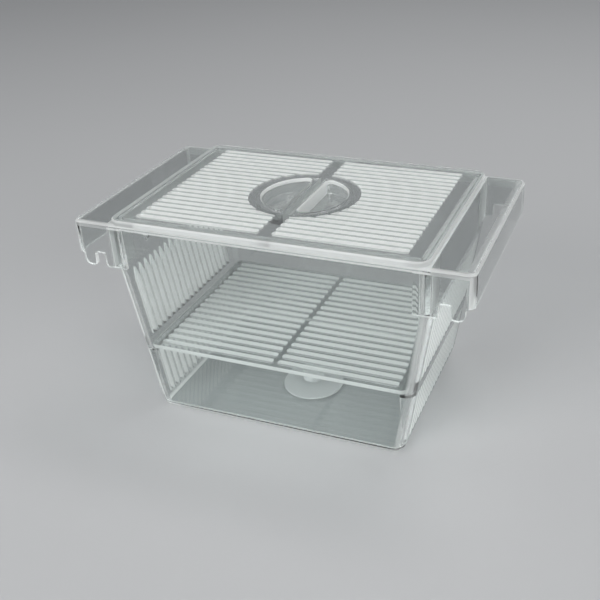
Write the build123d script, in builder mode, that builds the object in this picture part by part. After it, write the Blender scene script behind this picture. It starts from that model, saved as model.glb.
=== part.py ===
from build123d import *
import os

# Floating fish breeding box: a clear tub with a hollow float wing at each end, a slotted lid with two finger
# wells, a lift-out separator grid and a suction cup. Millimetres; +X runs along the length, +Z is up, and the
# origin is on the underside of the floor at its centre.

os.makedirs("parts", exist_ok=True)

# Tub shell: end walls upright near the rim and leaning in below a bend, front and back leaning a little
TUB_TOP_LENGTH = 150.6
TUB_TOP_DEPTH = 103.2
BOX_HEIGHT = 102.0  # underside of the floor to the lid's top
END_LEAN = 12.3  # how far each end wall comes in from the bend to the floor
SIDE_LEAN = 2.2  # the same for the front and back walls, from the rim to the floor
BEND_DROP = 24.7  # from the rim down to the bend
TUB_CORNER_RADIUS = 5.5
END_WALL = 2.6
SIDE_WALL = 2.2
FLOOR_THICKNESS = 2.2
FLOOR_EDGE_RADIUS = 4.0
INNER_EDGE_RADIUS = 1.6
FLANGE_WIDTH = 1.0  # how far the rim stands out over the front and back walls
FLANGE_THICKNESS = 2.3

# Lid plate
LID_THICKNESS = 2.3
LID_OVERHANG = 0.4  # over the rim at the front and back
LID_END_INSET = 0.3
LID_CORNER_RADIUS = 6.5
LID_EDGE_CUT = 0.7
SEAT_GAP = 0.1  # air left under the lid, the grid and the cup where they rest

# Float wings: open below, closed on top at the level of the rim
WING_REACH = 18.7  # from the tub's end to the wing's tip
WING_WALL = 2.2
WING_TOP_THICKNESS = 2.0
WING_ROOT_LAP = 7.1  # how far the front and back walls lap over the tub
WING_WALL_DROP = 22.0  # front and back walls, below the rim
WING_SKIRT_DROP = 15.7  # outer wall, below the rim
WING_STEP_INSET = 3.7  # the front and back walls step up to the skirt this far from the tip
WING_STEP_RADIUS = 3.0
WING_STEP_INNER_RADIUS = 1.5
WING_CORNER_RADIUS = 3.5
WING_HOLLOW_RADIUS = 1.3
WING_EDGE_CUT = 1.0

# Notch in each wing wall, for the neck of the suction cup
NOTCH_OFFSET = 6.5  # from the tub's end to the notch's centre
NOTCH_TOP_WIDTH = 5.0
NOTCH_MOUTH_WIDTH = 5.8
NOTCH_HEIGHT = 6.8
NOTCH_TOP_RADIUS = 0.8
NOTCH_MOUTH_RADIUS = 1.2

# Pointed lug under the front flange
LUG_INSET = 20.3  # from the tub's left end
LUG_WIDTH = 2.8
LUG_DROP = 2.9

# Ledges that carry the grid, with a post under each end
LEDGE_TOP = 33.8
LEDGE_THICKNESS = 2.0
LEDGE_LAP = 2.6  # how far the grid's ends lie on the ledges
LEDGE_ROOT = 0.7  # how far a ledge is let into the walls
POST_THICKNESS = 2.0
POST_FOOT_SINK = 1.0

# Water slots in the leaning end walls, in an upper and a lower bank
END_SLOT_PITCH = 4.61
END_SLOT_WIDTH = 3.0
END_SLOT_BORDER = 6.5
SLOT_POINT_HEIGHT = 5.5  # the upper bank's slots run out to a point
UPPER_BANK_RISE = 3.7  # above the ledge
UPPER_BANK_DROP = 2.2  # below the bend
LOWER_BANK_RISE = 2.1  # above the floor
LOWER_BANK_DROP = 0.6  # below the ledge

# Locating rib under the lid
RIB_CLEARANCE = 0.4
RIB_THICKNESS = 2.0
RIB_HEIGHT = 4.0

# Slots of the lid, in two panels around a plain disc
LID_SLOT_PITCH = 4.61
LID_SLOT_WIDTH = 3.0
LID_CENTRE_BAR = 6.6
LID_END_BORDER = 10.6
LID_SIDE_BORDER = 6.0
DISC_BORDER = 3.5  # from the finger wells to the disc's edge
SLOT_CORNER_CUT = 0.6

# Finger wells: two closed D-shaped cups beside a web
WELL_OUTER_RADIUS = 23.1
WELL_WALL = 2.6
WELL_FLOOR = 1.5
WELL_DEPTH = 8.0
WELL_CORNER_RADIUS = 2.2
WELL_MOUTH_CUT = 0.5
WEB_WIDTH = 7.8

# Separator grid
GRID_END_CLEARANCE = 1.3
GRID_SIDE_CLEARANCE = 0.45
GRID_THICKNESS = 2.0
GRID_CORNER_RADIUS = 3.0
GRID_SLOT_PITCH = 5.36
GRID_SLOT_WIDTH = 3.0
GRID_CENTRE_BAR = 2.5
GRID_END_BORDER = 4.5
GRID_SIDE_BORDER = 1.8

# Suction cup
CUP_PLACE_X = 3.5  # where it lies on the floor
CUP_PLACE_Y = -8.3
CUP_RIM_RADIUS = 15.2
CUP_RIM_HEIGHT = 0.8
CUP_SEAT_WIDTH = 0.9
CUP_HOLLOW_HEIGHT = 0.5
CUP_BELL_HEIGHT = 1.3  # the flattened bell, at the neck
CUP_NECK_CLEARANCE = 0.3  # on each side, in a notch of the wings
CUP_HEAD_RADIUS = 5.4
CUP_HEAD_THICKNESS = 3.8
CUP_HEAD_EDGE_CUT = 0.7

# Derived heights
lid_bottom = BOX_HEIGHT - LID_THICKNESS
rim_top = lid_bottom - SEAT_GAP
bend_height = rim_top - BEND_DROP
wing_bottom = rim_top - WING_WALL_DROP
skirt_bottom = rim_top - WING_SKIRT_DROP
ledge_bottom = LEDGE_TOP - LEDGE_THICKNESS

# Derived tub and wings
box_depth = TUB_TOP_DEPTH + 2 * FLANGE_WIDTH
box_length = TUB_TOP_LENGTH + 2 * WING_REACH
mouth_length = TUB_TOP_LENGTH - 2 * END_WALL
mouth_depth = TUB_TOP_DEPTH - 2 * SIDE_WALL
tub_end_x = TUB_TOP_LENGTH / 2
wing_tip_x = box_length / 2
wing_root_x = tub_end_x - WING_ROOT_LAP
wing_step_x = wing_tip_x - WING_STEP_INSET
wing_hollow_length = WING_REACH - WING_WALL
wing_hollow_x = tub_end_x + wing_hollow_length / 2
notch_x = tub_end_x + NOTCH_OFFSET
lug_x = LUG_INSET - tub_end_x
wing_radii = (
    0,
    NOTCH_MOUTH_RADIUS,
    NOTCH_TOP_RADIUS,
    NOTCH_TOP_RADIUS,
    NOTCH_MOUTH_RADIUS,
    WING_STEP_RADIUS,
    WING_STEP_INNER_RADIUS,
    0,
    0,
    0,
)


def leaning_length(height):
    """Returns the tub's outer length at a height below the bend."""
    return TUB_TOP_LENGTH - 2 * END_LEAN * (1 - height / bend_height)


def leaning_depth(height):
    """Returns the tub's outer depth at a height below the rim."""
    return TUB_TOP_DEPTH - 2 * SIDE_LEAN * (1 - height / rim_top)


def tub_form(bottom, end_inset, side_inset, edge_radius):
    """Returns the tub's outer form, or its hollow when inset by the walls."""
    bottom_x = leaning_length(bottom) / 2 - end_inset
    top_x = tub_end_x - end_inset
    bottom_y = leaning_depth(bottom) / 2 - side_inset
    top_y = TUB_TOP_DEPTH / 2 - side_inset
    with BuildPart() as form:
        with BuildSketch(Plane.XZ):
            with BuildLine():
                Polyline(
                    (-bottom_x, bottom),
                    (bottom_x, bottom),
                    (top_x, bend_height),
                    (top_x, rim_top),
                    (-top_x, rim_top),
                    (-top_x, bend_height),
                    close=True,
                )
            make_face()
        extrude(amount=top_y, both=True)
        with BuildSketch(Plane.YZ):
            with BuildLine():
                Polyline((-bottom_y, bottom), (bottom_y, bottom), (top_y, rim_top), (-top_y, rim_top), close=True)
            make_face()
        extrude(amount=top_x, both=True, mode=Mode.INTERSECT)
        corners = [edge for edge in form.edges() if edge.bounding_box().size.Z > TUB_CORNER_RADIUS]
        fillet(corners, TUB_CORNER_RADIUS - side_inset)
        fillet(form.faces().sort_by(Axis.Z)[0].edges(), edge_radius)
    return form.part


# Derived ledges and posts
ledge_space_length = leaning_length(LEDGE_TOP) - 2 * END_WALL
ledge_space_depth = leaning_depth(LEDGE_TOP) - 2 * SIDE_WALL
grid_length = ledge_space_length - 2 * GRID_END_CLEARANCE
grid_depth = ledge_space_depth - 2 * GRID_SIDE_CLEARANCE
ledge_inner_x = grid_length / 2 - LEDGE_LAP
ledge_outer_x = leaning_length(ledge_bottom) / 2 - END_WALL + LEDGE_ROOT
ledge_x = (ledge_inner_x + ledge_outer_x) / 2
ledge_width = ledge_outer_x - ledge_inner_x
ledge_depth = leaning_depth(ledge_bottom) - 2 * SIDE_WALL + 2 * LEDGE_ROOT
post_width = POST_THICKNESS + LEDGE_ROOT
post_y = (ledge_depth - post_width) / 2
post_height = bend_height * (1 - (tub_end_x - END_WALL - ledge_inner_x) / END_LEAN)
post_foot = max(post_height, FLOOR_THICKNESS) - POST_FOOT_SINK

# Derived slots
lower_bank_low = FLOOR_THICKNESS + LOWER_BANK_RISE
lower_bank_high = ledge_bottom - LOWER_BANK_DROP
upper_bank_low = LEDGE_TOP + UPPER_BANK_RISE
upper_bank_high = bend_height - UPPER_BANK_DROP
end_slot_count = int((leaning_depth(0) - 2 * END_SLOT_BORDER) / END_SLOT_PITCH)
lid_length = TUB_TOP_LENGTH - 2 * LID_END_INSET
lid_depth = box_depth + 2 * LID_OVERHANG
lid_slot_count = int((lid_depth - 2 * LID_SIDE_BORDER) / LID_SLOT_PITCH)
lid_slot_length = (lid_length - LID_CENTRE_BAR) / 2 - LID_END_BORDER
lid_panel_x = (LID_CENTRE_BAR + lid_slot_length) / 2
grid_slot_count = int((grid_depth - 2 * GRID_SIDE_BORDER) / GRID_SLOT_PITCH)
grid_slot_length = (grid_length - GRID_CENTRE_BAR) / 2 - GRID_END_BORDER
grid_panel_x = (GRID_CENTRE_BAR + grid_slot_length) / 2
rib_length = mouth_length - 2 * RIB_CLEARANCE
rib_depth = mouth_depth - 2 * RIB_CLEARANCE

# Derived suction cup
cup_place = (CUP_PLACE_X, CUP_PLACE_Y, FLOOR_THICKNESS + SEAT_GAP)
cup_plane = Plane(origin=cup_place, x_dir=(1, 0, 0), z_dir=(0, -1, 0))
cup_axis = Axis(cup_place, (0, 0, 1))
cup_seat_inner = CUP_RIM_RADIUS - CUP_SEAT_WIDTH
cup_neck_radius = NOTCH_TOP_WIDTH / 2 - CUP_NECK_CLEARANCE
cup_head_low = CUP_BELL_HEIGHT + WING_WALL
cup_height = cup_head_low + CUP_HEAD_THICKNESS

with BuildPart() as tub:
    # Shell: the leaning end walls stand upright above the bend
    add(tub_form(0, 0, 0, FLOOR_EDGE_RADIUS))

    # Wing blocks, drawn from the front with the notch and the step up to the skirt
    for side in (-1, 1):
        with BuildSketch(Plane.XZ):
            with BuildLine():
                FilletPolyline(
                    (side * wing_root_x, wing_bottom),
                    (side * (notch_x - NOTCH_MOUTH_WIDTH / 2), wing_bottom),
                    (side * (notch_x - NOTCH_TOP_WIDTH / 2), wing_bottom + NOTCH_HEIGHT),
                    (side * (notch_x + NOTCH_TOP_WIDTH / 2), wing_bottom + NOTCH_HEIGHT),
                    (side * (notch_x + NOTCH_MOUTH_WIDTH / 2), wing_bottom),
                    (side * wing_step_x, wing_bottom),
                    (side * wing_step_x, skirt_bottom),
                    (side * wing_tip_x, skirt_bottom),
                    (side * wing_tip_x, rim_top),
                    (side * wing_root_x, rim_top),
                    radius=wing_radii,
                    close=True,
                )
            make_face()
        extrude(amount=box_depth / 2, both=True)

    # Rim flange between the wings, and the pointed lug under it
    with BuildSketch(Plane.XY.offset(rim_top)):
        Rectangle(TUB_TOP_LENGTH, box_depth)
    extrude(amount=-FLANGE_THICKNESS)
    with BuildSketch(Plane.XZ.offset(box_depth / 2)):
        with BuildLine():
            Polyline(
                (lug_x - LUG_WIDTH / 2, rim_top - FLANGE_THICKNESS),
                (lug_x, rim_top - FLANGE_THICKNESS - LUG_DROP),
                (lug_x + LUG_WIDTH / 2, rim_top - FLANGE_THICKNESS),
                close=True,
            )
        make_face()
    extrude(amount=-SIDE_WALL)

    # Rounded plan corners and a bevelled rim
    with BuildSketch():
        RectangleRounded(box_length, box_depth, WING_CORNER_RADIUS)
    extrude(amount=rim_top, mode=Mode.INTERSECT)
    chamfer(tub.faces().sort_by(Axis.Z)[-1].edges(), WING_EDGE_CUT)

    # Hollow wings, open below
    with BuildSketch(Plane.XY.offset(wing_bottom)):
        with Locations((-wing_hollow_x, 0), (wing_hollow_x, 0)):
            RectangleRounded(wing_hollow_length, box_depth - 2 * WING_WALL, WING_HOLLOW_RADIUS)
    extrude(amount=WING_WALL_DROP - WING_TOP_THICKNESS, mode=Mode.SUBTRACT)

    # Inside of the tub
    add(tub_form(FLOOR_THICKNESS, END_WALL, SIDE_WALL, INNER_EDGE_RADIUS), mode=Mode.SUBTRACT)

    # Lower bank of water slots, through both leaning end walls
    with BuildSketch(Plane.YZ):
        with Locations((0, (lower_bank_low + lower_bank_high) / 2)):
            with GridLocations(END_SLOT_PITCH, 0, end_slot_count, 1):
                Rectangle(END_SLOT_WIDTH, lower_bank_high - lower_bank_low)
    extrude(amount=tub_end_x, both=True, mode=Mode.SUBTRACT)

    # Upper bank, where each slot runs out to a point
    with BuildSketch(Plane.YZ):
        with GridLocations(END_SLOT_PITCH, 0, end_slot_count, 1):
            Polygon(
                (-END_SLOT_WIDTH / 2, upper_bank_low),
                (END_SLOT_WIDTH / 2, upper_bank_low),
                (END_SLOT_WIDTH / 2, upper_bank_high - SLOT_POINT_HEIGHT),
                (0, upper_bank_high),
                (-END_SLOT_WIDTH / 2, upper_bank_high - SLOT_POINT_HEIGHT),
                align=None,
            )
    extrude(amount=tub_end_x, both=True, mode=Mode.SUBTRACT)

    # Ledges that carry the grid
    with BuildSketch(Plane.XY.offset(ledge_bottom)):
        with Locations((-ledge_x, 0), (ledge_x, 0)):
            Rectangle(ledge_width, ledge_depth)
    extrude(amount=LEDGE_THICKNESS)

    # Tapering post in each corner under the ledges, with its foot on the leaning end wall
    for side in (-1, 1):
        for end in (-1, 1):
            with BuildSketch(Plane.XZ.offset(end * post_y)):
                Polygon(
                    (side * ledge_inner_x, ledge_bottom),
                    (side * ledge_outer_x, ledge_bottom),
                    (side * (ledge_inner_x + LEDGE_ROOT), post_foot),
                    (side * ledge_inner_x, post_foot),
                    align=None,
                )
            extrude(amount=post_width / 2, both=True)
tub.part.label = "tub"
export_step(tub.part, "parts/tub.step")

with BuildPart() as lid:
    # Plate with a bevelled top edge
    with BuildSketch(Plane.XY.offset(lid_bottom)):
        RectangleRounded(lid_length, lid_depth, LID_CORNER_RADIUS)
    extrude(amount=LID_THICKNESS)
    chamfer(lid.faces().sort_by(Axis.Z)[-1].edges(), LID_EDGE_CUT)

    # Rib that keeps the lid in the tub's mouth
    with BuildSketch(Plane.XY.offset(lid_bottom)):
        RectangleRounded(rib_length, rib_depth, TUB_CORNER_RADIUS - SIDE_WALL)
        Rectangle(rib_length - 2 * RIB_THICKNESS, rib_depth - 2 * RIB_THICKNESS, mode=Mode.SUBTRACT)
    extrude(amount=-RIB_HEIGHT)

    # Finger wells: closed cups hung under the plate, with a bevelled mouth flush with its top
    with BuildSketch(Plane.XY.offset(lid_bottom)):
        Circle(WELL_OUTER_RADIUS)
        Rectangle(WEB_WIDTH - 2 * WELL_WALL, 2 * WELL_OUTER_RADIUS, mode=Mode.SUBTRACT)
    extrude(amount=LID_THICKNESS - WELL_DEPTH)
    with BuildSketch(Plane.XY.offset(BOX_HEIGHT)) as wells:
        Circle(WELL_OUTER_RADIUS - WELL_WALL)
        Rectangle(WEB_WIDTH, 2 * WELL_OUTER_RADIUS, mode=Mode.SUBTRACT)
        fillet(wells.vertices(), WELL_CORNER_RADIUS)
    extrude(amount=WELL_FLOOR - WELL_DEPTH, mode=Mode.SUBTRACT)
    top_edges = lid.faces().sort_by(Axis.Z)[-1].edges()
    mouth_edges = [edge for edge in top_edges if edge.distance_to((0, 0, BOX_HEIGHT)) < WELL_OUTER_RADIUS]
    chamfer(mouth_edges, WELL_MOUTH_CUT)

    # Slots in two panels, ending at the plain disc
    with BuildSketch(Plane.XY.offset(lid_bottom)) as slots:
        with GridLocations(2 * lid_panel_x, LID_SLOT_PITCH, 2, lid_slot_count):
            Rectangle(lid_slot_length, LID_SLOT_WIDTH)
        chamfer(slots.vertices(), SLOT_CORNER_CUT)
        Circle(WELL_OUTER_RADIUS + DISC_BORDER, mode=Mode.SUBTRACT)
    extrude(amount=LID_THICKNESS, mode=Mode.SUBTRACT)
lid.part.label = "lid"
export_step(lid.part, "parts/lid.step")

with BuildPart() as grid:
    with BuildSketch(Plane.XY.offset(LEDGE_TOP + SEAT_GAP)):
        RectangleRounded(grid_length, grid_depth, GRID_CORNER_RADIUS)
    extrude(amount=GRID_THICKNESS)

    # Slots in two panels beside the plain centre bar
    with BuildSketch(Plane.XY.offset(LEDGE_TOP + SEAT_GAP)) as slots:
        with GridLocations(2 * grid_panel_x, GRID_SLOT_PITCH, 2, grid_slot_count):
            Rectangle(grid_slot_length, GRID_SLOT_WIDTH)
        chamfer(slots.vertices(), SLOT_CORNER_CUT)
    extrude(amount=GRID_THICKNESS, mode=Mode.SUBTRACT)
grid.part.label = "grid"
export_step(grid.part, "parts/grid.step")

with BuildPart() as suction_cup:
    with BuildSketch(cup_plane):
        with BuildLine():
            Polyline(
                (0, cup_height),
                (CUP_HEAD_RADIUS - CUP_HEAD_EDGE_CUT, cup_height),
                (CUP_HEAD_RADIUS, cup_height - CUP_HEAD_EDGE_CUT),
                (CUP_HEAD_RADIUS, cup_head_low),
                (cup_neck_radius, cup_head_low),
                (cup_neck_radius, CUP_BELL_HEIGHT),
                (CUP_RIM_RADIUS, CUP_RIM_HEIGHT),
                (CUP_RIM_RADIUS, 0),
                (cup_seat_inner, 0),
                (0, CUP_HOLLOW_HEIGHT),
                close=True,
            )
        make_face()
    revolve(axis=cup_axis)
suction_cup.part.label = "suction_cup"
export_step(suction_cup.part, "parts/suction_cup.step")
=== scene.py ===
"""Looks of the clear floating fish breeding box.

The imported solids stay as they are. This file dresses each of them in its finish, stands them on a
plain pale floor in soft studio light, and puts the camera at the photograph's viewing angle.
"""

import logging
import math
from dataclasses import dataclass, field, replace
from enum import Enum

import bpy
from mathutils import Matrix, Vector


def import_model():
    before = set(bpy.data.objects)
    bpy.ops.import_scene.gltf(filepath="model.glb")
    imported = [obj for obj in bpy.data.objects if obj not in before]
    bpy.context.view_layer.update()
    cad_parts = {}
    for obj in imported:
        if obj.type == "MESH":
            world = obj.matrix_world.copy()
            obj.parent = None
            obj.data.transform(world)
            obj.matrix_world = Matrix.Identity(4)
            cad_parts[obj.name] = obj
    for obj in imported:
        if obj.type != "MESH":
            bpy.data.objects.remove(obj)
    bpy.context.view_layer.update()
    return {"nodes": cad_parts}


LOG = logging.getLogger("breeding_box")

Colour = tuple[float, float, float]
OpaqueColour = tuple[float, float, float, float]
Point = tuple[float, float, float]
Socket = bpy.types.NodeSocket
Tree = bpy.types.NodeTree

FULL = 1.0
NO_LOWER_LIMIT = -1.0
NO_UPPER_LIMIT = 10.0
NOISE_DETAIL = 2.0
NOISE_LOW = 0.3
NOISE_HIGH = 0.7
BEVEL_SAMPLES = 4
RIGHT_ANGLE = 90.0
MATRIX_SIZE = 4


class Piece(Enum):
    """The four mouldings, by the names of their solids."""

    TUB = "tub"
    LID = "lid"
    GRID = "grid"
    SUCTION_CUP = "suction_cup"


class Measure(Enum):
    """What is measured at a spot of a surface, from the middle and the underside of the box."""

    LOOKS_ALONG_Y = "how squarely the surface looks to the front or back"
    LOOKS_ALONG_Z = "how squarely the surface looks up or down"
    OUT_ALONG_X = "distance from the middle along the length"
    OUT_ALONG_Y = "distance from the middle along the depth"
    TO_BACK = "distance from the middle towards the back"
    HEIGHT = "height above the underside"
    RADIUS = "distance from the upright middle line"


class LightRole(Enum):
    """What each studio light does."""

    KEY = "key"
    FILL = "fill"
    BACK = "back"


def opaque(colour: Colour) -> OpaqueColour:
    """Adds full opacity to a colour."""
    return (*colour, FULL)


def combine(tree: Tree, operation: str, *values: Socket | float) -> Socket:
    """Adds one step of arithmetic.

    Args:
        tree: The material's node tree.
        operation: The kind of step.
        *values: Sockets or numbers that go in.

    Returns:
        The socket with the result.
    """
    node = tree.nodes.new("ShaderNodeMath")
    node.operation = operation
    for place, value in enumerate(values):
        if isinstance(value, float):
            node.inputs[place].default_value = value
        else:
            tree.links.new(value, node.inputs[place])
    return node.outputs["Value"]


def spread(
    tree: Tree, value: Socket, low: float, high: float, start: float = 0.0, end: float = FULL
) -> Socket:
    """Adds a step that moves a value from one span to another.

    Args:
        tree: The material's node tree.
        value: The value that goes in.
        low: What comes out at the start of its span.
        high: What comes out at the end of its span.
        start: Where the value's span starts.
        end: Where the value's span ends.

    Returns:
        The socket with the result.
    """
    node = tree.nodes.new("ShaderNodeMapRange")
    node.inputs["From Min"].default_value = start
    node.inputs["From Max"].default_value = end
    node.inputs["To Min"].default_value = low
    node.inputs["To Max"].default_value = high
    tree.links.new(value, node.inputs["Value"])
    return node.outputs["Result"]


def blend(tree: Tree, share: Socket, low: Colour, high: Colour) -> Socket:
    """Adds a step from one colour to another.

    Args:
        tree: The material's node tree.
        share: How far to go, from 0 to 1.
        low: The colour at 0.
        high: The colour at 1.

    Returns:
        The socket with the colour.
    """
    ramp = tree.nodes.new("ShaderNodeValToRGB")
    ramp.color_ramp.elements[0].color = opaque(low)
    ramp.color_ramp.elements[1].color = opaque(high)
    tree.links.new(share, ramp.inputs["Fac"])
    return ramp.outputs["Color"]


def noise(tree: Tree, scale: float) -> Socket:
    """Adds soft noise that stays in place on the piece.

    Args:
        tree: The material's node tree.
        scale: How fine the noise is.

    Returns:
        The socket with the noise, nearly always between NOISE_LOW and NOISE_HIGH.
    """
    place = tree.nodes.new("ShaderNodeTexCoord")
    texture = tree.nodes.new("ShaderNodeTexNoise")
    texture.inputs["Scale"].default_value = scale
    texture.inputs["Detail"].default_value = NOISE_DETAIL
    tree.links.new(place.outputs["Object"], texture.inputs["Vector"])
    return texture.outputs["Fac"]


@dataclass(frozen=True)
class Limit:
    """One limit on a measure, in metres, or from 0 to 1 where it is a direction."""

    measure: Measure
    over: float = NO_LOWER_LIMIT
    under: float = NO_UPPER_LIMIT


@dataclass(frozen=True)
class Zone:
    """The faces inside all of some limits, and how far they are satin and whitened as a painted
    highlight, from 0 to 1.
    """

    limits: tuple[Limit, ...]
    share: float = FULL


@dataclass(frozen=True)
class SatinAndHighlightFaces:
    """Where a moulding is satin and whitened as a painted highlight, not polished. Where zones
    overlap, the higher share holds.
    """

    zones: tuple[Zone, ...]

    def mask(self, tree: Tree) -> Socket:
        """Adds the nodes that find the satin faces, which are whitened as painted highlights.

        Args:
            tree: The material's node tree.

        Returns:
            A socket with the satin and painted-highlight share, from 0 on polished faces to 1.
        """
        sizes = self._measure(tree)
        found = None
        for zone in self.zones:
            inside = None
            for limit in zone.limits:
                value = sizes[limit.measure]
                over = combine(tree, "GREATER_THAN", value, limit.over)
                under = combine(tree, "LESS_THAN", value, limit.under)
                within = combine(tree, "MULTIPLY", over, under)
                inside = within if inside is None else combine(tree, "MULTIPLY", inside, within)
            share = combine(tree, "MULTIPLY", inside, zone.share)
            found = share if found is None else combine(tree, "MAXIMUM", found, share)
        return found

    @staticmethod
    def _measure(tree: Tree) -> dict[Measure, Socket]:
        """Adds the nodes that take every measure.

        Args:
            tree: The material's node tree.

        Returns:
            A socket for each measure.
        """
        place = tree.nodes.new("ShaderNodeTexCoord")
        facing = tree.nodes.new("ShaderNodeSeparateXYZ")
        spot = tree.nodes.new("ShaderNodeSeparateXYZ")
        tree.links.new(place.outputs["Normal"], facing.inputs["Vector"])
        tree.links.new(place.outputs["Object"], spot.inputs["Vector"])
        x_squared = combine(tree, "MULTIPLY", spot.outputs["X"], spot.outputs["X"])
        y_squared = combine(tree, "MULTIPLY", spot.outputs["Y"], spot.outputs["Y"])
        return {
            Measure.LOOKS_ALONG_Y: combine(tree, "ABSOLUTE", facing.outputs["Y"]),
            Measure.LOOKS_ALONG_Z: combine(tree, "ABSOLUTE", facing.outputs["Z"]),
            Measure.OUT_ALONG_X: combine(tree, "ABSOLUTE", spot.outputs["X"]),
            Measure.OUT_ALONG_Y: combine(tree, "ABSOLUTE", spot.outputs["Y"]),
            Measure.TO_BACK: spot.outputs["Y"],
            Measure.HEIGHT: spot.outputs["Z"],
            Measure.RADIUS: combine(tree, "SQRT", combine(tree, "ADD", x_squared, y_squared)),
        }


@dataclass(frozen=True)
class ClearPlasticFinish:
    """A see-through moulded plastic: polished faces, satin faces whitened as painted highlights,
    soft edges and a faint ripple.
    """

    name: str
    tint: Colour
    roughness_low: float
    roughness_high: float
    refraction: float
    edge_softness: float
    ripple_scale: float
    ripple_depth: float
    depth_tint: Colour
    depth_density: float
    satin_highlight_colour: Colour
    satin_roughness: float
    satin_clearness: float
    lamp_tint: Colour
    satin_lamp_share: float

    def build(self, satin: SatinAndHighlightFaces) -> bpy.types.Material:
        """Makes the node material: tinted where it is clear, whitened as a painted highlight where
        it is satin.

        Args:
            satin: Where the surface is satin and whitened as a painted highlight.

        Returns:
            The new material.
        """
        material = bpy.data.materials.new(self.name)
        material.use_nodes = True
        tree = material.node_tree
        tree.nodes.clear()
        output = tree.nodes.new("ShaderNodeOutputMaterial")
        shader = tree.nodes.new("ShaderNodeBsdfPrincipled")
        shader.inputs["IOR"].default_value = self.refraction
        mask = satin.mask(tree)
        ripple = noise(tree, self.ripple_scale)
        # Blends to the whitish satin colour on the satin faces: a painted highlight on slot walls,
        # rims and edges.
        colour = blend(tree, mask, self.tint, self.satin_highlight_colour)
        clearness = spread(tree, mask, FULL, self.satin_clearness)
        tree.links.new(colour, shader.inputs["Base Color"])
        tree.links.new(clearness, shader.inputs["Transmission Weight"])
        tree.links.new(self._roughness(tree, mask, ripple), shader.inputs["Roughness"])
        tree.links.new(self._surface(tree, ripple), shader.inputs["Normal"])
        tree.links.new(self._pass_lamps(tree, mask, shader), output.inputs["Surface"])
        depth = tree.nodes.new("ShaderNodeVolumeAbsorption")
        depth.inputs["Color"].default_value = opaque(self.depth_tint)
        depth.inputs["Density"].default_value = self.depth_density
        tree.links.new(depth.outputs["Volume"], output.inputs["Volume"])
        return material

    def _pass_lamps(self, tree: Tree, mask: Socket, shader: bpy.types.Node) -> Socket:
        """Lets the lamps' light through, so that the inside of the box is lit.

        Args:
            tree: The material's node tree.
            mask: The satin and painted-highlight share.
            shader: The plastic's own shader.

        Returns:
            A socket with the plastic that casts clear shadows.
        """
        path = tree.nodes.new("ShaderNodeLightPath")
        share = spread(tree, mask, FULL, self.satin_lamp_share)
        passed = combine(tree, "MULTIPLY", path.outputs["Is Shadow Ray"], share)
        clear = tree.nodes.new("ShaderNodeBsdfTransparent")
        clear.inputs["Color"].default_value = opaque(self.lamp_tint)
        mix = tree.nodes.new("ShaderNodeMixShader")
        tree.links.new(passed, mix.inputs["Fac"])
        tree.links.new(shader.outputs["BSDF"], mix.inputs[1])
        tree.links.new(clear.outputs["BSDF"], mix.inputs[2])
        return mix.outputs["Shader"]

    def _roughness(self, tree: Tree, mask: Socket, ripple: Socket) -> Socket:
        """Varies the gloss a little and makes the satin faces rough.

        Args:
            tree: The material's node tree.
            mask: The satin and painted-highlight share.
            ripple: The unevenness of the sheet.

        Returns:
            A socket with the roughness.
        """
        gloss = spread(
            tree, ripple, self.roughness_low, self.roughness_high, NOISE_LOW, NOISE_HIGH
        )
        return combine(tree, "MULTIPLY_ADD", mask, self.satin_roughness, gloss)

    def _surface(self, tree: Tree, ripple: Socket) -> Socket:
        """Softens the edges and lets the sheet ripple.

        Args:
            tree: The material's node tree.
            ripple: The unevenness of the sheet.

        Returns:
            A socket with the surface's direction.
        """
        soft_edge = tree.nodes.new("ShaderNodeBevel")
        soft_edge.samples = BEVEL_SAMPLES
        soft_edge.inputs["Radius"].default_value = self.edge_softness
        bump = tree.nodes.new("ShaderNodeBump")
        bump.inputs["Strength"].default_value = FULL
        bump.inputs["Distance"].default_value = self.ripple_depth
        tree.links.new(ripple, bump.inputs["Height"])
        tree.links.new(soft_edge.outputs["Normal"], bump.inputs["Normal"])
        return bump.outputs["Normal"]


@dataclass(frozen=True)
class MattFinish:
    """A plain matt surface with a faint mottle, for the studio floor."""

    name: str
    colour_low: Colour
    colour_high: Colour
    roughness: float
    mottle_scale: float

    def build(self) -> bpy.types.Material:
        """Makes the node material.

        Returns:
            The new material.
        """
        material = bpy.data.materials.new(self.name)
        material.use_nodes = True
        tree = material.node_tree
        shader = tree.nodes["Principled BSDF"]
        shader.inputs["Roughness"].default_value = self.roughness
        mottle = noise(tree, self.mottle_scale)
        colour = blend(tree, mottle, self.colour_low, self.colour_high)
        tree.links.new(colour, shader.inputs["Base Color"])
        return material


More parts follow.
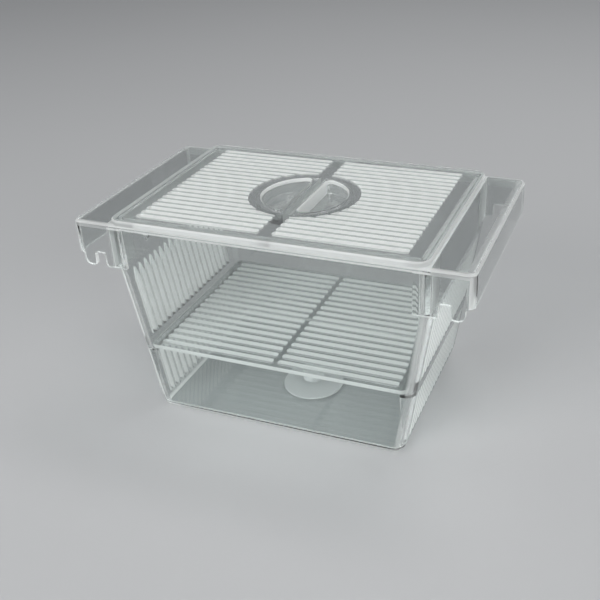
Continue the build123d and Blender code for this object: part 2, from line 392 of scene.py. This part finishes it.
CLEAR_TUB = ClearPlasticFinish(
    name="clear_tub",
    # Darker than the plastic's own faint tint: partly its real tint, partly painted shade that
    # darkens the see-through panels.
    tint=(0.77, 0.79, 0.785),
    roughness_low=0.01,
    roughness_high=0.05,
    refraction=1.57,
    edge_softness=0.0004,
    ripple_scale=28.0,
    ripple_depth=0.00003,
    depth_tint=(0.68, 0.74, 0.73),
    depth_density=6.0,
    # Whitish satin colour: a painted highlight on the slot walls, rims, edges and corners.
    satin_highlight_colour=(0.90, 0.915, 0.905),
    satin_roughness=0.6,
    satin_clearness=0.45,
    lamp_tint=(0.88, 0.90, 0.90),
    satin_lamp_share=0.35,
)
CLEAR_LID = replace(CLEAR_TUB, name="clear_lid", edge_softness=0.0003, ripple_scale=34.0)
CLEAR_GRID = replace(CLEAR_LID, name="clear_grid")
SOFT_CUP = ClearPlasticFinish(
    name="soft_cup",
    tint=(0.86, 0.885, 0.88),
    roughness_low=0.10,
    roughness_high=0.18,
    refraction=1.45,
    edge_softness=0.0005,
    ripple_scale=60.0,
    ripple_depth=0.00004,
    depth_tint=(0.60, 0.66, 0.66),
    depth_density=12.0,
    # Whitish colour on the cup's flanks and bell: a painted highlight.
    satin_highlight_colour=(0.93, 0.95, 0.95),
    satin_roughness=0.4,
    satin_clearness=0.5,
    lamp_tint=(0.85, 0.87, 0.87),
    satin_lamp_share=0.5,
)
STUDIO_FLOOR = MattFinish(
    name="studio_floor",
    colour_low=(0.55, 0.555, 0.56),
    colour_high=(0.57, 0.575, 0.58),
    roughness=0.75,
    mottle_scale=3.0,
)


@dataclass
class Moulding:
    """One moulding of the box: which solid it is, and the finish that it takes."""

    piece: Piece
    finish: ClearPlasticFinish

    def build(self, nodes: dict[str, bpy.types.Object]) -> bpy.types.Object:
        """Finds the moulding's solid and dresses it.

        Args:
            nodes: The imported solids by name.

        Returns:
            The dressed solid.
        """
        solid = nodes[self.piece.value]
        self._dress(solid)
        return solid

    def satin_and_highlight_zones(self) -> tuple[Zone, ...]:
        """Gives the zones where the moulding is satin and whitened as a painted highlight. Each
        kind of moulding gives its own.
        """
        raise NotImplementedError

    def _dress(self, solid: bpy.types.Object) -> None:
        """Puts the moulding's finish into every material slot of its solid.

        Args:
            solid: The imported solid.
        """
        material = self.finish.build(SatinAndHighlightFaces(self.satin_and_highlight_zones()))
        for place in range(len(solid.data.materials)):
            solid.data.materials[place] = material


@dataclass
class Tub(Moulding):
    """The tub with its float wings: satin and whitened as painted highlights in the slots and along
    its rim, edges and corners.
    """

    piece: Piece = Piece.TUB
    finish: ClearPlasticFinish = CLEAR_TUB
    square: float = 0.6
    flat: float = 0.95
    slanted: float = 0.3
    slots_out: float = 0.055
    slots_half_width: float = 0.0445
    slots_top: float = 0.0735
    floor_edge: float = 0.0050
    rim_height: float = 0.0990
    rim_half_length: float = 0.0757
    rim_inner_length: float = 0.0726
    rim_inner_depth: float = 0.0493
    bevel_height: float = 0.0984
    flange_out: float = 0.0522
    flange_underside: float = 0.0970
    flange_lip: float = 0.0980
    back_lip: float = 0.0935
    wing_root: float = 0.0675
    wing_corner: float = 0.0885
    wing_margin: float = 0.0900
    wing_wall_inner: float = 0.0503
    wing_wall_low: float = 0.0770
    wing_wall_high: float = 0.0852
    skirt_out: float = 0.0915
    edge_margin: float = 0.0508
    end_wall_inner: float = 0.0745
    end_wall_outer: float = 0.0765
    posts_inner: float = 0.0360
    posts_outer: float = 0.0440
    flange_share: float = 0.35
    margin_share: float = 0.4
    lips_share: float = 0.45
    corners_share: float = 0.35
    wing_corners_share: float = 0.7
    posts_share: float = 0.6

    def satin_and_highlight_zones(self) -> tuple[Zone, ...]:
        """Gives the satin zones of all parts of the tub, whitened as painted highlights.

        Returns:
            The zones.
        """
        return (
            *self._slots(),
            *self._rim(),
            *self._wing_edges(),
            *self._wing_tops(),
            *self._corners(),
            *self._posts(),
        )

    def _slots(self) -> tuple[Zone, ...]:
        """Finds the sides of the slots in the end walls.

        Returns:
            The zones.
        """
        sides = (
            Limit(Measure.LOOKS_ALONG_Y, over=self.square),
            Limit(Measure.OUT_ALONG_X, over=self.slots_out),
            Limit(Measure.OUT_ALONG_Y, under=self.slots_half_width),
            Limit(Measure.HEIGHT, under=self.slots_top),
        )
        return (Zone(sides),)

    def _rim(self) -> tuple[Zone, ...]:
        """Finds the flange with its lower lip, the rim's top and the bevel round rim and wings.

        Returns:
            The zones.
        """
        flange = (
            Limit(Measure.LOOKS_ALONG_Y, over=self.square),
            Limit(Measure.OUT_ALONG_X, under=self.rim_half_length),
            Limit(Measure.OUT_ALONG_Y, over=self.flange_out),
            Limit(Measure.HEIGHT, over=self.flange_underside),
        )
        flange_lip = (*flange, Limit(Measure.HEIGHT, under=self.flange_lip))
        long_sides = (
            Limit(Measure.LOOKS_ALONG_Z, over=self.flat),
            Limit(Measure.OUT_ALONG_X, under=self.rim_half_length),
            Limit(Measure.OUT_ALONG_Y, over=self.rim_inner_depth),
            Limit(Measure.HEIGHT, over=self.rim_height),
        )
        ends = (
            Limit(Measure.LOOKS_ALONG_Z, over=self.flat),
            Limit(Measure.OUT_ALONG_X, over=self.rim_inner_length, under=self.rim_half_length),
            Limit(Measure.HEIGHT, over=self.rim_height),
        )
        bevel = (
            Limit(Measure.LOOKS_ALONG_Z, over=self.slanted, under=self.flat),
            Limit(Measure.HEIGHT, over=self.bevel_height),
        )
        return (
            Zone(flange, self.flange_share),
            Zone(flange_lip),
            Zone(long_sides),
            Zone(ends),
            Zone(bevel),
        )

    def _wing_edges(self) -> tuple[Zone, ...]:
        """Finds the wings' lower edges with their notches, and the lips under their tops.

        Returns:
            The zones.
        """
        lower_edges = (
            Limit(Measure.LOOKS_ALONG_Y, under=self.square),
            Limit(Measure.OUT_ALONG_X, over=self.wing_root),
            Limit(Measure.OUT_ALONG_Y, over=self.wing_wall_inner),
            Limit(Measure.HEIGHT, over=self.wing_wall_low, under=self.wing_wall_high),
        )
        skirt_edge = (
            Limit(Measure.LOOKS_ALONG_Z, over=self.square),
            Limit(Measure.OUT_ALONG_X, over=self.skirt_out),
            Limit(Measure.HEIGHT, under=self.wing_wall_high),
        )
        lips = (
            Limit(Measure.LOOKS_ALONG_Y, over=self.square),
            Limit(Measure.OUT_ALONG_X, over=self.rim_half_length),
            Limit(Measure.OUT_ALONG_Y, over=self.flange_out),
            Limit(Measure.HEIGHT, over=self.flange_underside),
        )
        back_lips = (
            Limit(Measure.LOOKS_ALONG_Y, over=self.square),
            Limit(Measure.OUT_ALONG_X, over=self.rim_half_length),
            Limit(Measure.TO_BACK, over=self.flange_out),
            Limit(Measure.HEIGHT, over=self.back_lip),
        )
        return (
            Zone(lower_edges),
            Zone(skirt_edge),
            Zone(lips, self.lips_share),
            Zone(back_lips, self.wing_corners_share),
        )

    def _wing_tops(self) -> tuple[Zone, ...]:
        """Finds the margins of the wings' tops: over the skirt, and along the front and back.

        Returns:
            The zones.
        """
        margin = (
            Limit(Measure.LOOKS_ALONG_Z, over=self.flat),
            Limit(Measure.OUT_ALONG_X, over=self.wing_margin),
            Limit(Measure.HEIGHT, over=self.rim_height),
        )
        long_margins = (
            Limit(Measure.LOOKS_ALONG_Z, over=self.flat),
            Limit(Measure.OUT_ALONG_X, over=self.rim_half_length),
            Limit(Measure.OUT_ALONG_Y, over=self.edge_margin),
            Limit(Measure.HEIGHT, over=self.rim_height),
        )
        return (Zone(margin, self.margin_share), Zone(long_margins, self.wing_corners_share))

    def _corners(self) -> tuple[Zone, ...]:
        """Finds the upright corners of tub and wings, and the rounded edge round the floor.

        Returns:
            The zones.
        """
        upright = (
            Limit(Measure.LOOKS_ALONG_Y, over=self.slanted, under=self.flat),
            Limit(Measure.LOOKS_ALONG_Z, under=self.slanted),
            Limit(Measure.OUT_ALONG_X, over=self.slots_out),
        )
        wing_corners = (*upright, Limit(Measure.OUT_ALONG_X, over=self.wing_corner))
        floor_edge = (
            Limit(Measure.LOOKS_ALONG_Z, over=self.slanted, under=self.flat),
            Limit(Measure.HEIGHT, under=self.floor_edge),
        )
        return (
            Zone(upright, self.corners_share),
            Zone(wing_corners, self.wing_corners_share),
            Zone(floor_edge),
        )

    def _posts(self) -> tuple[Zone, ...]:
        """Finds the ends of the end walls inside the wings, whiter towards front and back as a
        painted highlight.

        Returns:
            The zones.
        """
        posts = (
            Limit(Measure.LOOKS_ALONG_Y, under=self.square),
            Limit(Measure.LOOKS_ALONG_Z, under=self.slanted),
            Limit(Measure.OUT_ALONG_X, over=self.end_wall_inner, under=self.end_wall_outer),
            Limit(Measure.OUT_ALONG_Y, over=self.posts_inner),
            Limit(Measure.HEIGHT, over=self.wing_wall_low),
        )
        outer_posts = (*posts, Limit(Measure.OUT_ALONG_Y, over=self.posts_outer))
        return (Zone(posts, self.posts_share), Zone(outer_posts))


@dataclass
class Lid(Moulding):
    """The slotted lid: satin and whitened as painted highlights in its slots, round its edges, on
    its rib and in its finger wells.
    """

    piece: Piece = Piece.LID
    finish: ClearPlasticFinish = CLEAR_LID
    square: float = 0.6
    flat: float = 0.95
    slanted: float = 0.3
    plate_underside: float = 0.0996
    bevel_height: float = 0.1010
    slots_half_length: float = 0.0700
    slots_half_depth: float = 0.0480
    wells_radius: float = 0.0245
    wells_wall_inner: float = 0.0225
    mouth_radius: float = 0.0212
    mouth_height: float = 0.1003
    web_half_width: float = 0.0042
    sides_share: float = 0.55
    rib_share: float = 0.6
    web_share: float = 0.8
    wells_share: float = 0.35

    def satin_and_highlight_zones(self) -> tuple[Zone, ...]:
        """Gives the satin zones of the lid's plate and of its wells, whitened as painted
        highlights.
        """
        return (*self._plate(), *self._wells())

    def _plate(self) -> tuple[Zone, ...]:
        """Finds the slots, the sides and bevels of the plate, and the rib under it.

        Returns:
            The zones.
        """
        sides = (
            Limit(Measure.LOOKS_ALONG_Z, under=self.square),
            Limit(Measure.HEIGHT, over=self.plate_underside),
        )
        slots = (
            *sides,
            Limit(Measure.RADIUS, over=self.wells_radius),
            Limit(Measure.OUT_ALONG_X, under=self.slots_half_length),
            Limit(Measure.OUT_ALONG_Y, under=self.slots_half_depth),
        )
        long_sides = (*sides, Limit(Measure.OUT_ALONG_Y, over=self.slots_half_depth))
        ends = (*sides, Limit(Measure.OUT_ALONG_X, over=self.slots_half_length))
        bevels = (
            Limit(Measure.LOOKS_ALONG_Z, over=self.slanted, under=self.flat),
            Limit(Measure.HEIGHT, over=self.bevel_height),
        )
        rib = (
            Limit(Measure.RADIUS, over=self.wells_radius),
            Limit(Measure.HEIGHT, under=self.plate_underside),
        )
        return (
            Zone(slots),
            Zone(long_sides, self.sides_share),
            Zone(ends, self.sides_share),
            Zone(bevels),
            Zone(rib, self.rib_share),
        )

    def _wells(self) -> tuple[Zone, ...]:
        """Finds the finger wells' mouths, their round walls and the web between them.

        Returns:
            The zones.
        """
        mouths = (
            Limit(Measure.LOOKS_ALONG_Z, under=self.slanted),
            Limit(Measure.RADIUS, under=self.mouth_radius),
            Limit(Measure.HEIGHT, over=self.mouth_height),
        )
        walls = (
            Limit(Measure.LOOKS_ALONG_Z, under=self.slanted),
            Limit(Measure.RADIUS, over=self.wells_wall_inner, under=self.wells_radius),
            Limit(Measure.HEIGHT, under=self.plate_underside),
        )
        web = (
            Limit(Measure.LOOKS_ALONG_Y, under=self.slanted),
            Limit(Measure.LOOKS_ALONG_Z, under=self.slanted),
            Limit(Measure.OUT_ALONG_X, under=self.web_half_width),
            Limit(Measure.RADIUS, under=self.wells_radius),
        )
        return (Zone(mouths), Zone(walls, self.wells_share), Zone(web, self.web_share))


@dataclass
class SeparatorGrid(Moulding):
    """The slotted plate on the ledges: satin and whitened as painted highlights in its slots and
    around its edge.
    """

    piece: Piece = Piece.GRID
    finish: ClearPlasticFinish = CLEAR_GRID
    square: float = 0.6

    def satin_and_highlight_zones(self) -> tuple[Zone, ...]:
        """Gives every upright face of the plate."""
        return (Zone((Limit(Measure.LOOKS_ALONG_Z, under=self.square),)),)


@dataclass
class SuctionCup(Moulding):
    """The soft cup on the floor: rough and whitened as a painted highlight on its head's flank and
    its rim, less so on its bell.
    """

    piece: Piece = Piece.SUCTION_CUP
    finish: ClearPlasticFinish = SOFT_CUP
    square: float = 0.8
    flank_share: float = 1.0
    bell_share: float = 0.65

    def satin_and_highlight_zones(self) -> tuple[Zone, ...]:
        """Gives the cup's flanks and the faces of its bell.

        Returns:
            The zones.
        """
        flanks = (Limit(Measure.LOOKS_ALONG_Z, under=self.square),)
        bell = (Limit(Measure.LOOKS_ALONG_Z, over=self.square),)
        return (Zone(flanks, self.flank_share), Zone(bell, self.bell_share))


@dataclass
class StudioLight:
    """One soft area light, aimed at a point. Lengths are in metres, its power in watts."""

    role: LightRole
    place: Point
    aim: Point
    width: float
    height: float
    power: float

    def build(self) -> None:
        """Makes the light and turns it to its aim."""
        data = bpy.data.lights.new(f"{self.role.value}_light", "AREA")
        data.shape = "RECTANGLE"
        data.size = self.width
        data.size_y = self.height
        data.energy = self.power
        lamp = bpy.data.objects.new(data.name, data)
        lamp.location = self.place
        beam = Vector(self.aim) - Vector(self.place)
        lamp.rotation_euler = beam.to_track_quat("-Z", "Y").to_euler()
        bpy.context.scene.collection.objects.link(lamp)


KEY_LIGHT = StudioLight(
    role=LightRole.KEY,
    place=(-0.6, -1.0, 0.62),
    aim=(0.0, 0.0, 0.05),
    width=0.9,
    height=0.5,
    power=8.5,
)
FILL_LIGHT = StudioLight(
    role=LightRole.FILL,
    place=(1.0, -0.6, 0.5),
    aim=(0.0, 0.0, 0.05),
    width=0.7,
    height=0.5,
    power=5.5,
)
BACK_LIGHT = StudioLight(
    role=LightRole.BACK,
    place=(0.25, 0.55, 1.2),
    aim=(0.0, 0.0, 0.06),
    width=0.7,
    height=0.3,
    power=4.5,
)


@dataclass
class Studio:
    """The pale floor, the even surround and the soft lights."""

    floor_half_width: float = 3.0
    floor_drop: float = 0.0002
    surround: Colour = (0.9, 0.92, 0.95)
    surround_strength: float = 0.3
    lights: tuple[StudioLight, ...] = (KEY_LIGHT, FILL_LIGHT, BACK_LIGHT)

    def build(self) -> None:
        """Makes the floor, the surround and the lights."""
        bpy.context.scene.view_settings.view_transform = "Standard"
        self._lay_floor()
        self._light_surround()
        for light in self.lights:
            light.build()

    def _lay_floor(self) -> None:
        """Lays the wide pale floor just under the box."""
        half = self.floor_half_width
        corners = [(-half, -half, 0), (half, -half, 0), (half, half, 0), (-half, half, 0)]
        mesh = bpy.data.meshes.new("studio_floor")
        mesh.from_pydata(corners, [], [tuple(range(len(corners)))])
        mesh.materials.append(STUDIO_FLOOR.build())
        floor = bpy.data.objects.new("studio_floor", mesh)
        floor.location.z = -self.floor_drop
        bpy.context.scene.collection.objects.link(floor)

    def _light_surround(self) -> None:
        """Gives the room an even pale glow."""
        world = bpy.data.worlds.new("studio")
        world.use_nodes = True
        backdrop = world.node_tree.nodes["Background"]
        backdrop.inputs["Color"].default_value = opaque(self.surround)
        backdrop.inputs["Strength"].default_value = self.surround_strength
        bpy.context.scene.world = world


@dataclass
class PhotoCamera:
    """The camera at the photograph's viewing angle.

    Its place is in metres, its angles are in degrees, and the lens and the sensor in millimetres.
    """

    place: Point = (0.15584, -0.34993, 0.25833)
    azimuth: float = 22.52
    elevation: float = 29.55
    roll: float = -2.44
    lens: float = 52.44
    sensor_width: float = 36.0
    shift: tuple[float, float] = (-0.0512, 0.0097)
    clip_start: float = 0.01

    def build(self) -> bpy.types.Object:
        """Makes the camera and hands it to the scene.

        Returns:
            The camera object.
        """
        data = bpy.data.cameras.new("photo_camera")
        data.sensor_width = self.sensor_width
        data.sensor_fit = "HORIZONTAL"
        data.lens = self.lens
        data.shift_x, data.shift_y = self.shift
        data.clip_start = self.clip_start
        camera = bpy.data.objects.new("photo_camera", data)
        tilt = self._turn(RIGHT_ANGLE - self.elevation, "X")
        turn = self._turn(self.azimuth, "Z") @ tilt @ self._turn(self.roll, "Z")
        camera.matrix_world = Matrix.Translation(Vector(self.place)) @ turn
        bpy.context.scene.collection.objects.link(camera)
        bpy.context.scene.camera = camera
        return camera

    @staticmethod
    def _turn(angle: float, axis: str) -> Matrix:
        """Gives a turn by an angle about an axis."""
        return Matrix.Rotation(math.radians(angle), MATRIX_SIZE, axis)


@dataclass
class BreedingBox:
    """The whole box: its mouldings in the order in which they nest."""

    tub: Tub = field(default_factory=Tub)
    cup: SuctionCup = field(default_factory=SuctionCup)
    grid: SeparatorGrid = field(default_factory=SeparatorGrid)
    lid: Lid = field(default_factory=Lid)

    def build(self, nodes: dict[str, bpy.types.Object]) -> None:
        """Dresses every moulding and reports it.

        Args:
            nodes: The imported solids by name.
        """
        for moulding in (self.tub, self.cup, self.grid, self.lid):
            solid = moulding.build(nodes)
            LOG.info("%s dressed in %s", solid.name, moulding.finish.name)


def main() -> None:
    """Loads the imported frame, dresses the box, lights it and places the camera."""
    logging.basicConfig(level=logging.INFO, format="%(name)s: %(message)s")
    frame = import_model()
    BreedingBox().build(frame["nodes"])
    Studio().build()
    camera = PhotoCamera().build()
    LOG.info("camera at (%.4f, %.4f, %.4f)", *camera.location)


if __name__ == "__main__":
    main()
